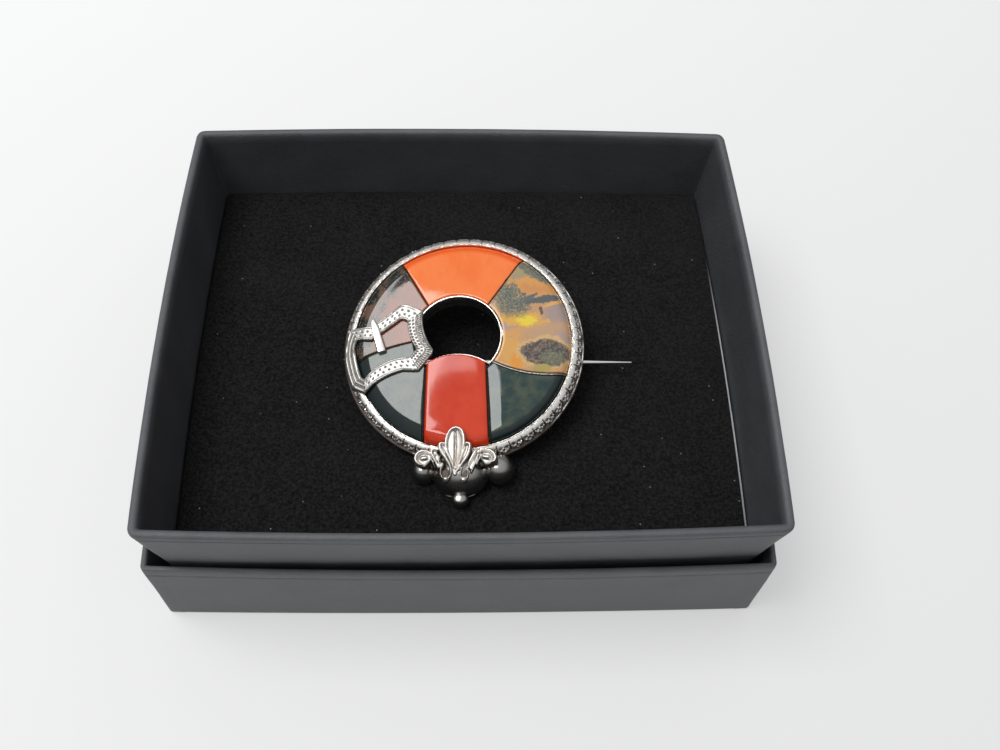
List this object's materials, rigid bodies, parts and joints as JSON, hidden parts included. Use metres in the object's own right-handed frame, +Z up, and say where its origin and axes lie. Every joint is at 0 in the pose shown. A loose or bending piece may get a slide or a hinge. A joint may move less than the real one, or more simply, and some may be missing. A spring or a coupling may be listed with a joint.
{
  "type": "agate brooch in a card gift box",
  "caption": "Ring-shaped silver brooch with a strap and buckle, inlaid with coloured agate panels, lying on the black pad of an open card gift box.",
  "frame": {"origin": "centre of the box's underside, on the table", "axes": "+X to the box's right, +Y to its back, +Z up; the brooch's buckle is on its left and the strap end points to the front"},
  "size_m": [0.0936, 0.0776, 0.0305],
  "materials": {
    "silver": "polished cast silver, slightly tarnished in the engraving",
    "bloodstone": "polished dark green stone",
    "moss_agate": "polished golden brown agate with dendrites",
    "carnelian": "polished orange agate",
    "grey_agate": "polished pinkish grey agate with a crystal edge",
    "jasper": "polished brick red jasper",
    "card": "greyboard wrapped in dark fibrous paper",
    "flock": "black flocked foam"
  },
  "bodies": {
    "root": {"silver_frame": "silver", "stone_bloodstone_right": "bloodstone", "stone_moss_agate": "moss_agate", "stone_carnelian": "carnelian", "stone_grey_agate": "grey_agate", "stone_bloodstone_left": "bloodstone", "stone_jasper_strap": "jasper", "buckle": "silver", "strap_end": "silver", "pin": "silver", "box_tray": "card", "box_pad": "flock", "box_lid": "card"}
  },
  "joints": []
}
